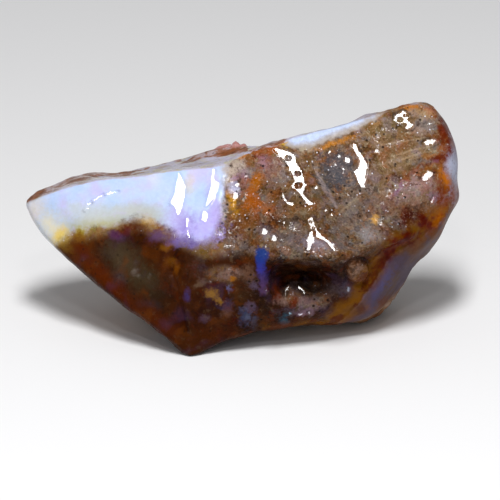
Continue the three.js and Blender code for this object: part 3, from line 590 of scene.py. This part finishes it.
# a smooth rim, a rough crust and a broken back
skin.group("clear rim", soft_step(rim, -0.2, 0.6))
finish_modifier(stone, "SMOOTH", factor=0.5, iterations=14, vertex_group="clear rim")
skin.read()
skin.group("rough part", np.clip(crust, 0, 1))
skin.group("smooth part", np.clip(1 - crust, 0, 1))
roughen(stone, "knobs", "CLOUDS", 1.3, 0.24, "rough part", noise_depth=1)
roughen(stone, "grains", "VORONOI", 0.75, -0.07, "rough part")
roughen(stone, "ripple", "CLOUDS", 2.6, 0.12, "smooth part", noise_depth=1)
skin.group("back part", np.clip(1 - front, 0, 1) * (1 - soft_step(skin.v - top_v, -1.0, 0.5) * 0.6))
roughen(stone, "breaks", "CLOUDS", 2.4, 0.55, "back part", noise_type="HARD_NOISE", noise_depth=3)
skin.read()

# the crack, the crease and the round fossil's rings
ring_middle, ring_radius = SHELL_RING
ring_away = np.linalg.norm(skin.uv - np.array(ring_middle), axis=1)
shape = ridge(line_distance(skin.uv, CRACK), *CRACK_SIZE)
shape += ridge(line_distance(skin.uv, CREASE), *CREASE_SIZE)
for share, height, half_width in RING_SIZES:
    shape += ridge(ring_away - share * ring_radius, height, half_width)
skin.push(shape * front)

# small knobs on the crest, each on the highest point near its u
knob = np.zeros(len(skin.u))
for u, radius, height in TOP_KNOBS:
    crest = np.argmax(np.where(np.abs(skin.u - u) < 0.12, skin.v, -99))
    away = np.linalg.norm(skin.place - skin.place[crest], axis=1)
    knob = np.maximum(knob, 1 - soft_step(away, 0.9 * radius, 2.2 * radius))
    skin.push(height * (1 - soft_step(away, 0.1 * radius, 1.3 * radius)))

# two shallow flutes with a crease between them, down the milky part
below = FLUTE_TOP - skin.v
first, valley, second = (u + slope * below for u, slope in FLUTE_LINES)
fold = np.where(skin.u < first, LEFT_SLOPE, TOP_SLOPE) * (skin.u - first)
fold += np.where(skin.u > valley, VALLEY_SLOPE * (skin.u - valley), 0)
fold -= np.where(skin.u > second, VALLEY_SLOPE * (skin.u - second), 0)
change = FLUTE_DEPTH + FLUTE_RAKE * (below - FLUTE_MIDDLE) + fold - skin.w
fluted = soft_step(inside_by(skin.uv, FLUTED_PART), -0.1, 1.6)
skin.lift(change * fluted * front * soft_step(np.abs(change), 1.1, 0.7))

# facets: the points inside each outline are laid in one plane
glaze = np.zeros(len(skin.u))
for outlines, tilt in ((FACETS, FACET_TILT), (LOW_FACETS, LOW_TILT)):
    slope = -math.tan(math.radians(tilt))
    for outline in outlines:
        inside = inside_by(skin.uv, outline)
        own = (inside > -0.1) & (skin.facing > 0.1)
        plane = np.mean(skin.w[own] - slope * skin.v[own]) + slope * skin.v
        share = soft_step(inside, -0.22, -0.06) * (skin.facing > 0) * (np.abs(plane - skin.w) < FACET_REACH)
        skin.lift(share * (plane - skin.w))
        glaze = np.maximum(glaze, share)

# round pits
shape = np.zeros(len(skin.u))
for middle, radius in PITS:
    away = np.linalg.norm(skin.uv - np.array(middle), axis=1)
    shape -= 0.8 * radius * (1 - soft_step(away, 0.4 * radius, 1.1 * radius))
skin.lift(shape * front)

# painted shade: how much each point's colour is darkened
dusk = soft_step(line_height(PAINTED_SHADE_LINE, skin.u) - skin.v, -0.4, 1.4)
dusk = np.maximum(dusk, HALF_PAINTED_SHADE * soft_step(line_height(HALF_PAINTED_SHADE_LINE, skin.u) - skin.v, -0.8, 0.8))
for middle, sizes, lit in LIGHTER_SPOTS:
    dusk *= 1 - lit * (1 - soft_step(np.linalg.norm((skin.uv - middle) / sizes, axis=1), 0.5, 1.2))

# the narrow top, and the lines that the finish follows
top = soft_step(skin.v - top_v + 1.2 * soft_step(skin.normal @ UP, 0.7, 0.9), -0.1, 0.2)
top *= soft_step(skin.w, *TOP_BACK)
# the iron band is narrower up the right-hand edge, and weaker below the cave
band = line_distance(skin.uv, IRON_BAND) + 0.8 * soft_step(skin.v, 13.5, 15.5)
band = band + 1 - soft_step(skin.u, 6, 9.5)
for name, values in {
    "milky": milky,
    "brown": brown,
    "rim": rim,
    "chip": chip,
    "front": front,
    "crust": crust,
    "top": top,
    "band": band,
    "streak": line_distance(skin.uv, BLUE_STREAK),
    "crack": line_distance(skin.uv, CRACK),
    "scratch": np.minimum.reduce([line_distance(skin.uv, line) for line in SCRATCHES]),
    "glaze": glaze,
    "dusk": dusk,
    "ring": ring_away,
    "ledge": skin.v - top_v - line_height(PALE_LEDGE, skin.u),
    "knob": knob,
    "foot": line_distance(skin.uv, CHIP_FOOT),
    "vein": line_distance(skin.uv, PALE_VEIN) + 0.12 * np.abs(skin.v - 16.3),
}.items():
    skin.keep(name, values)


# ==== Materials ====

WHITE = (1, 1, 1, 1)
# Painted shade: its tint, and how the fiery patches keep through it
PAINTED_SHADE_TINT = (0.12, 0.045, 0.008, 1)  # what the colours are multiplied by where the stone is darkest
FIERY_IN_PAINTED_SHADE, FIERY_STRENGTH = 0.62, 0.8  # how bright and how strong a fiery patch stays below the dusk line


def paint(red, green, blue):
    """A colour from the 0 to 255 values of a paint chart."""
    shares = (red / 255, green / 255, blue / 255)
    return (*(c / 12.92 if c <= 0.04045 else ((c + 0.055) / 1.055) ** 2.4 for c in shares), 1.0)


class Wire:
    """An output of a shader node. Arithmetic on wires adds Math nodes to the tree that is being drawn."""

    tree = None

    def __init__(self, socket):
        self.socket = socket

    @classmethod
    def node(cls, kind, settings=None, inputs=None, output=0):
        """Adds a node, with its settings first, then the values or wires of its inputs."""
        made = cls.tree.nodes.new("ShaderNode" + kind)
        for name, value in (settings or {}).items():
            if name == "stops":
                while len(made.color_ramp.elements) < len(value):
                    made.color_ramp.elements.new(1.0)
                for element, (position, colour) in zip(made.color_ramp.elements, value):
                    element.position, element.color = position, colour
            else:
                setattr(made, name, value)
        for name, value in (inputs or {}).items():
            if isinstance(value, Wire):
                cls.tree.links.new(value.socket, made.inputs[name])
            else:
                made.inputs[name].default_value = value
        return cls(made.outputs[output])

    def math(self, operation, *others):
        """Adds a Math node that starts from this wire."""
        return Wire.node("Math", {"operation": operation}, dict(enumerate((self, *others))))

    def __add__(self, other):
        return self.math("ADD", other)

    def __sub__(self, other):
        return self.math("SUBTRACT", other)

    def __mul__(self, other):
        return self.math("MULTIPLY", other)

    __radd__, __rmul__ = __add__, __mul__

    def __rsub__(self, other):
        return Wire.node("Math", {"operation": "SUBTRACT"}, {0: other, 1: self})


def soft(value, low, high, top=1.0):
    """Rises smoothly from 0 at low to top at high, and stays between them without the node's clamp."""
    return Wire.node("MapRange", {"interpolation_type": "SMOOTHSTEP", "clamp": False},
                     {"Value": value, "From Min": low, "From Max": high, "To Max": top})


def blend(share, first, second, how="MIX"):
    """A colour that goes from the first to the second. Sockets 6 and 7 and output 2 carry colours."""
    settings = {"data_type": "RGBA", "blend_type": how}
    return Wire.node("Mix", settings, {0: share, 6: first, 7: second}, output=2)


def ramp(share, *stops):
    """A colour from a row of stops, each a position and a paint."""
    return Wire.node("ValToRGB", {"stops": [(at, paint(*colour)) for at, colour in stops]}, {"Fac": share})


def vector(operation, *operands, output=0):
    """Arithmetic on places."""
    return Wire.node("VectorMath", {"operation": operation}, dict(enumerate(operands)), output=output)


def noise(place, size, detail=3, roughness=0.55, output="Fac"):
    """Cloudy variation with features of about size millimetres."""
    inputs = {"Vector": place, "Scale": 1 / size, "Detail": detail, "Roughness": roughness}
    return Wire.node("TexNoise", inputs=inputs, output=output)


def cells(place, size, output="Distance"):
    """Round cells about size millimetres apart."""
    return Wire.node("TexVoronoi", inputs={"Vector": place, "Scale": 1 / size}, output=output)


def dots(place, size, edge, chosen):
    """Round dots in some of the cells: edge is where a dot fades, and chosen says which cells have one."""
    return soft(cells(place, size), *edge) * soft(cells(place, size, output="Color"), *chosen)


def kept(name):
    """A number that was stored on the mesh."""
    return Wire.node("Attribute", {"attribute_name": name}, output="Fac")


def along_axis(place, axis):
    """One of a place's three numbers."""
    return Wire.node("SeparateXYZ", inputs={"Vector": place}, output=axis)


def shifted(place, size, reach, detail=3):
    """The same place, pushed about by noise, to make edges ragged."""
    push = vector("SUBTRACT", noise(place, size, detail, output="Color"), (0.5, 0.5, 0.5))
    return vector("MULTIPLY_ADD", push, (reach, reach, reach), place)


def feed(socket, wire):
    """Links a wire to one of the stone's shader's sockets."""
    Wire.tree.links.new(wire.socket, shader.inputs[socket])


stone_finish = bpy.data.materials.new("opal and sandy crust")
stone_finish.use_nodes = True
Wire.tree = stone_finish.node_tree
shader = stone_finish.node_tree.nodes["Principled BSDF"]

# the place in the face frame, in millimetres, and the noises that most of the finish reads
face_place = Wire.node("Mapping", {"vector_type": "POINT"}, {
    "Vector": Wire.node("TexCoord", output="Object"),
    "Scale": (1 / MM, 1 / MM, 1 / MM),
    "Rotation": (LEAN - math.pi / 2, 0, 0),
    "Location": (FACE_SHIFT[0], FACE_SHIFT[1] * math.sin(LEAN), -FACE_SHIFT[1] * math.cos(LEAN)),
})
ragged = shifted(shifted(face_place, 1.6, 1.3), 0.5, 0.45)
flat = vector("MULTIPLY", ragged, (1, 1, 0))  # the patches lie at the same u and v at every depth
face_along, face_up = along_axis(face_place, "X"), along_axis(face_place, "Y")
wide, middling, fine = noise(face_place, 3.4), noise(face_place, 1.1, 4), noise(face_place, 0.34, 4, 0.65)
fray = (middling - 0.5) * 1.8 + (fine - 0.5) * 0.7

# the sandy crust
sand = ramp(middling * 0.6 + wide * 0.4,
            (0.38, (66, 40, 18)), (0.46, (98, 70, 38)), (0.52, (118, 90, 60)), (0.6, (136, 110, 92)))
tint = noise(shifted(face_place, 0.9, 1.4), 1.7, 2)
sand = blend(soft(tint, 0.53, 0.62, 0.75), sand, paint(118, 110, 108))
sand = blend(soft(tint, 0.47, 0.38, 0.65), sand, paint(128, 76, 36))
sand = blend(soft(noise(face_place, 2.1, 2), 0.55, 0.68, 0.5), sand, paint(94, 78, 38))

# the milky part, the brown translucent part and the clear rim
milk = ramp(wide, (0.38, (176, 198, 234)), (0.5, (186, 202, 237)), (0.62, (192, 190, 238)))
syrup = ramp(middling * 0.6 + wide * 0.4,
             (0.36, (100, 52, 18)), (0.45, (130, 88, 46)), (0.54, (144, 114, 72)), (0.63, (146, 118, 104)))
haze = ramp(wide, (0.36, (128, 96, 92)), (0.5, (138, 124, 138)), (0.62, (132, 134, 172)))

# where each part shows
milky_share = soft(kept("milky") + (middling - 0.5) * 1.5 + (fine - 0.5) * 0.25, -0.5, 0.55)
brown_share = soft(kept("brown") + fray * 0.9, -0.5, 0.5)
rim_share = soft(kept("rim") + fray * 0.3, -0.15, 0.25)
chip_share = soft(kept("chip") + fray * 0.35, -0.15, 0.15)
# the painted shade, kept off the milky part
dusk = kept("dusk") * (1 - milky_share)
grain_room = kept("crust") * soft(kept("band"), 0.2, 1.4)

colour = blend(brown_share, sand, syrup)
colour = blend(rim_share, colour, haze)
colour = blend(milky_share, colour, milk)
low_edge = soft(kept("milky"), 2.2, 0.2, 0.7) * soft(face_along, -6, -9)
colour = blend(low_edge * milky_share, colour, paint(164, 164, 142))
calm = (1 - milky_share * 0.65) * (1 - brown_share * soft(face_along, -1.5, -6, 0.5))
mottle = ((fine - 0.5) * 2.6 + (middling - 0.5) * 2.4) * calm
turned = {}  # the flat place, turned by each angle that a patch has


def stain(colour, middle, sizes, turn, hue, strength):
    """Lays a soft-edged patch over a colour."""
    angle = math.radians(turn)
    if turn not in turned:
        inputs = {"Vector": flat, "Rotation": (0, 0, -angle)}
        turned[turn] = Wire.node("Mapping", {"vector_type": "POINT"}, inputs)
    u, v = middle
    middle = (u * math.cos(angle) + v * math.sin(angle), v * math.cos(angle) - u * math.sin(angle))
    scale = (1 / sizes[0], 1 / sizes[1], 0)
    away = vector("MULTIPLY_ADD", turned[turn], scale, (-middle[0] / sizes[0], -middle[1] / sizes[1], 0))
    away = vector("LENGTH", away, output="Value")
    return blend(soft(away + mottle, 1.65, 0.1, strength), colour, paint(*hue))


def fiery(hue):
    """True for blues, violets and strong oranges, which stay bright under the painted shade."""
    red, _, blue = hue
    return blue > red or red - blue > 120 or red > 4 * blue + 40


for middle, sizes, turn, hue, strength in PATCHES:
    if not fiery(hue):
        colour = stain(colour, middle, sizes, turn, hue, strength)

# cloudy colours deep in the stone
deep = noise(shifted(face_place, 1.0, 1.6), 1.2, 4)
veined = noise(shifted(face_place, 2.0, 1.5, 2), 2.4, 2, 0.4)
flecks = noise(shifted(face_place, 0.6, 0.7), 0.6, 3)
# where the painted shade lies, off the rim and on the front; cloudy colours are laid there
cloudy = kept("dusk") * (1 - rim_share) * kept("front")
bare = 1 - milky_share
colour = blend(soft(deep, 0.54, 0.66, 0.35) * calm * bare, colour, paint(136, 116, 128))
violet_share = soft(deep, 0.55, 0.64, 0.28) * milky_share * soft(kept("milky"), 2.6, 0.4)
colour = blend(violet_share, colour, paint(190, 166, 228))
colour = blend(soft(deep, 0.47, 0.37, 0.6) * cloudy * calm, colour, paint(190, 110, 30))
colour = blend(soft(flecks, 0.45, 0.35, 0.6) * calm * bare, colour, paint(62, 30, 12))
colour = blend(soft(flecks, 0.56, 0.66, 0.4) * calm * bare, colour, paint(168, 154, 128))

# scratches, the pale vein, the crack and the round fossil
scratches = soft(kept("scratch") + (middling - 0.5) * 0.3, 0.16, 0.03, 0.3)
colour = blend(scratches, colour, paint(190, 168, 136))
colour = blend(soft(kept("vein") + fray * 0.12, 0.42, 0.18, 0.75), colour, paint(158, 142, 142))
colour = blend(soft(kept("crack") + fray * 0.1, 0.2, 0.05, 0.7), colour, paint(80, 36, 14))
ring = kept("ring") + fray * 0.3
ring_share = soft(ring, 1.3, 1.0, 0.5)
shell = blend(soft(flecks, 0.46, 0.54), paint(110, 74, 50), paint(206, 160, 132))
colour = blend(ring_share, colour, shell)
colour = blend(soft(ring, 1.02, 1.2) * soft(ring, 1.6, 1.38, 0.75), colour, paint(70, 28, 8))

# painted shade over the lower part, and the patches that stay bright in it
shade = blend(dusk * (1 - rim_share), WHITE, PAINTED_SHADE_TINT)
colour = blend(1.0, colour, shade, how="MULTIPLY")
# on the clear rim the painted shade is a smoky colour laid over it instead
smoky_rim_shade = blend(soft(wide, 0.42, 0.58), paint(82, 60, 52), paint(76, 62, 74))
colour = blend(soft(kept("dusk") + (wide - 0.5) * 0.6, 0.3, 0.75) * rim_share, colour, smoky_rim_shade)
for middle, sizes, turn, hue, strength in PATCHES:
    if fiery(hue):
        if middle[1] < line_height(PAINTED_SHADE_LINE, middle[0]):
            hue, strength = [FIERY_IN_PAINTED_SHADE * c for c in hue], FIERY_STRENGTH * strength
        colour = stain(colour, middle, sizes, turn, hue, strength)
for patch in PATCHES_IN_PAINTED_SHADE:
    colour = stain(colour, *patch)

# the back, with iron stains and paler clouds
worn = noise(shifted(face_place, 1.2, 1.8), 1.6, 5, 0.62)
back = ramp(worn * 0.7 + wide * 0.3,
            (0.36, (74, 46, 26)), (0.45, (112, 80, 52)), (0.52, (136, 108, 84)), (0.6, (158, 136, 122)))
back = blend(soft(tint, 0.47, 0.37, 0.7), back, paint(132, 70, 26))
back = blend(soft(wide + fray * 0.1, 0.58, 0.68, 0.6), back, paint(168, 170, 190))

# the narrow top: a pale ledge and umber, pink knobs, and the back's colours towards the right-hand end
pale = blend(soft(worn, 0.36, 0.52), paint(184, 174, 148), paint(184, 180, 200))
pale = blend(soft(veined + fray * 0.1, 0.56, 0.66, 0.6), pale, paint(158, 138, 136))
umber = blend(soft(worn, 0.42, 0.6), paint(130, 74, 38), paint(154, 108, 88))
umber = blend(soft(flecks, 0.5, 0.4, 0.6), umber, paint(92, 54, 30))
depth = along_axis(face_place, "Z")
ledge = kept("ledge") + fray * 0.2 + (wide - 0.5) * 7 * soft(depth, -8.0, -11.0)
behind = soft(depth + fray * 3, -4.5, -7.0, 3.0)
ledge = ledge - behind * soft(face_along + (wide - 0.5) * 12 + fray * 2, 0.0, 3.0)
crest = blend(soft(ledge, -0.15, 0.12), pale, umber)
crest = blend(kept("knob") * 0.9, crest, paint(186, 134, 130))
crest = blend(soft(worn + fine * 0.3, 0.68, 0.76, 0.5), crest, paint(196, 190, 204))
crest = blend(soft(face_along + (wide - 0.5) * 16 + fray * 2, 10.5, 14.5), crest, back)
colour = blend(kept("front"), back, colour)
colour = blend(kept("top"), colour, crest)

# cloudy colours, already dark, laid in the painted shade of the lower part
colour = blend(soft(veined, 0.54, 0.7, 0.2) * cloudy, colour, paint(62, 48, 84))
colour = blend(soft(veined, 0.46, 0.32, 0.4) * cloudy, colour, paint(92, 46, 8))
colour = blend(soft(flecks, 0.57, 0.7, 0.14) * cloudy * calm, colour, paint(110, 98, 76))

# grains of all kinds
grit = noise(face_place, 0.2, 3, 0.7)
pepper, salt = soft(grit, 0.46, 0.36), soft(grit, 0.56, 0.66)
pepper = pepper * (brown_share * 0.25 * calm + grain_room * 0.42) * (1 - brown_share * 0.5)
colour = blend(pepper, colour, paint(38, 20, 10))
salt = salt * grain_room * 0.28 * (1 - dusk * 0.9) * (1 - brown_share)
colour = blend(salt, colour, paint(200, 166, 148))
speck = dots(face_place, 0.62, (0.27, 0.15), (0.36, 0.3)) * grain_room
colour = blend(speck * 0.85, colour, paint(24, 13, 8))
# pale grains that also stand as painted glints, only where there is no painted shade
quartz_and_glints = dots(face_place, 0.4, (0.24, 0.12), (0.5, 0.6))
quartz_and_glints = quartz_and_glints * soft(noise(face_place, 1.5, 2), 0.5, 0.6) * grain_room * (1 - dusk) * kept("front")
colour = blend(quartz_and_glints * 0.9, colour, paint(232, 232, 244))
pit = dots(face_place, 1.35, (0.24, 0.18), (0.42, 0.38)) * grain_room
colour = blend(pit * 0.4, colour, paint(46, 30, 20))

# the iron band along the clear rim, and the iron stains at the right-hand edge
iron = ramp(noise(face_place, 1.5, 3) * 0.85 + fine * 0.15,
            (0.38, (70, 4, 0)), (0.46, (82, 20, 0)), (0.54, (96, 48, 0)), (0.64, (104, 66, 4)))
band = kept("band") + fray * 0.5 + (noise(face_place, 2.2, 2) - 0.5) * 1.8
gold = blend(soft(tint, 0.44, 0.56), paint(84, 36, 0), paint(112, 68, 4))
rust = blend(soft(tint, 0.44, 0.56), paint(112, 38, 2), paint(144, 76, 0))
rust_share = soft(face_along + fray, 17.5, 19.5)
iron = blend(soft(face_along + fray, 14.5, 12.0), iron, gold)
iron = blend(rust_share, iron, rust)
colour = blend(soft(band, 1.6, 0.2, 0.92) * kept("front"), colour, iron)
for patch in EDGE_PATCHES:
    colour = stain(colour, *patch)

# the clean chip and the blue streak
chip_colour = blend(soft(kept("foot") + fray * 0.4, 0.1, 0.8), paint(166, 156, 150), paint(188, 202, 234))
colour = blend(chip_share * kept("front"), colour, chip_colour)
streak = kept("streak") + (middling - 0.5) * 2.2 + (fine - 0.5) * 0.9 - soft(face_up, 9.0, 10.0, 0.2)
blues = ramp(soft(face_up + fray * 0.4, 6.6, 10.4),
             (0.0, (74, 50, 84)), (0.3, (62, 48, 106)), (0.55, (50, 50, 142)), (1.0, (10, 50, 118)))
colour = blend(soft(streak, 0.75, 0.1, 0.9) * kept("front"), colour, blues)

# a fine unevenness of tone over everything
tone = 1 + (fine - 0.5) * 0.7 * calm
tone = Wire.node("CombineColor", inputs={0: tone, 1: tone, 2: tone})
colour = blend(1.0, colour, tone, how="MULTIPLY")

# the relief and the shine
dull = 1 - kept("glaze") * 0.7
relief = (fine * 0.8 + grit * 0.6 - pit * 0.8 - speck * 0.3) * grain_room * dull + middling * 0.3
bump = Wire.node("Bump", inputs={"Strength": 0.9, "Distance": 0.12 * MM, "Height": relief}, output="Normal")
feed("Base Color", colour)
feed("Roughness", 0.18 + grain_room * 0.2 + rim_share * 0.25)
shine = 0.1 * (1 - dusk)
shine = shine + soft(grit, 0.57, 0.62, 0.8) * (1 - dusk * 0.85) * soft(kept("milky"), -0.3, -1.0)
shine = shine * soft(kept("chip"), -0.3, -0.9) + kept("glaze") * 0.8
shine = shine + soft(kept("milky"), 0.6, 2.0, 0.6) - rim_share * 0.3
feed("Coat Weight", shine)
feed("Normal", bump)
for name, value in {
    "IOR": 1.12,
    "Coat IOR": 1.45,
    "Coat Roughness": 0.04,
    "Subsurface Weight": 0.08,
    "Subsurface Radius": (1.0, 0.8, 0.7),
    "Subsurface Scale": 0.4 * MM,
}.items():
    shader.inputs[name].default_value = value
stone.data.materials.clear()
stone.data.materials.append(stone_finish)

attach(stone, "root")
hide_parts("opal")


# ==== The stage, with sizes in millimetres ====

FLOOR_SIZE = 4000
LAMP_AIM = 9  # the height above the floor that the lamps face
CAMERA_AIM = (0.730, -0.065, 7.504)
CAMERA_AWAY = 813.8
LENS, SENSOR_WIDTH = 600, 36

bpy.ops.mesh.primitive_plane_add(size=FLOOR_SIZE * MM)
floor = bpy.context.object
floor.name = "floor"
floor_paint = bpy.data.materials.new("pale floor")
floor_paint.use_nodes = True
floor_shader = floor_paint.node_tree.nodes["Principled BSDF"]
floor_shader.inputs["Base Color"].default_value = (0.86, 0.86, 0.87, 1)
floor_shader.inputs["Roughness"].default_value = 0.7
floor.data.materials.append(floor_paint)


def area_light(name, toward, distance, size, power):
    """A flat lamp at a distance in a direction from the stone, which it faces."""
    data = bpy.data.lights.new(name, "AREA")
    data.shape, data.size, data.size_y = "RECTANGLE", size[0] * MM, size[1] * MM
    data.energy = power
    lamp = bpy.data.objects.new(name, data)
    bpy.context.scene.collection.objects.link(lamp)
    direction = Vector(toward).normalized()
    lamp.location = Vector((0, 0, LAMP_AIM * MM)) + direction * distance * MM
    lamp.rotation_euler = (-direction).to_track_quat("-Z", "Y").to_euler()


area_light("key", (0.0, -0.42, 0.9), 300, (50, 120), 0.85)
area_light("small front", (0.0, -0.766, 0.643), 300, (22, 22), 0.06)
area_light("soft front", (-0.3, -1.0, 0.35), 700, (500, 300), 0.5)

world = bpy.data.worlds.new("studio")
world.use_nodes = True
world.node_tree.nodes["Background"].inputs["Color"].default_value = WHITE
world.node_tree.nodes["Background"].inputs["Strength"].default_value = 0.22
bpy.context.scene.world = world
bpy.context.scene.view_settings.view_transform = "Standard"

# The camera looks square on to the broad face, from far enough away to flatten the stone.
camera_data = bpy.data.cameras.new("camera")
camera_data.lens, camera_data.sensor_width = LENS, SENSOR_WIDTH
camera = bpy.data.objects.new("camera", camera_data)
bpy.context.scene.collection.objects.link(camera)
camera.location = Vector(CAMERA_AIM) * MM + Vector(OUT) * CAMERA_AWAY * MM
camera.rotation_euler = (math.radians(90) - LEAN, 0, 0)
bpy.context.scene.camera = camera
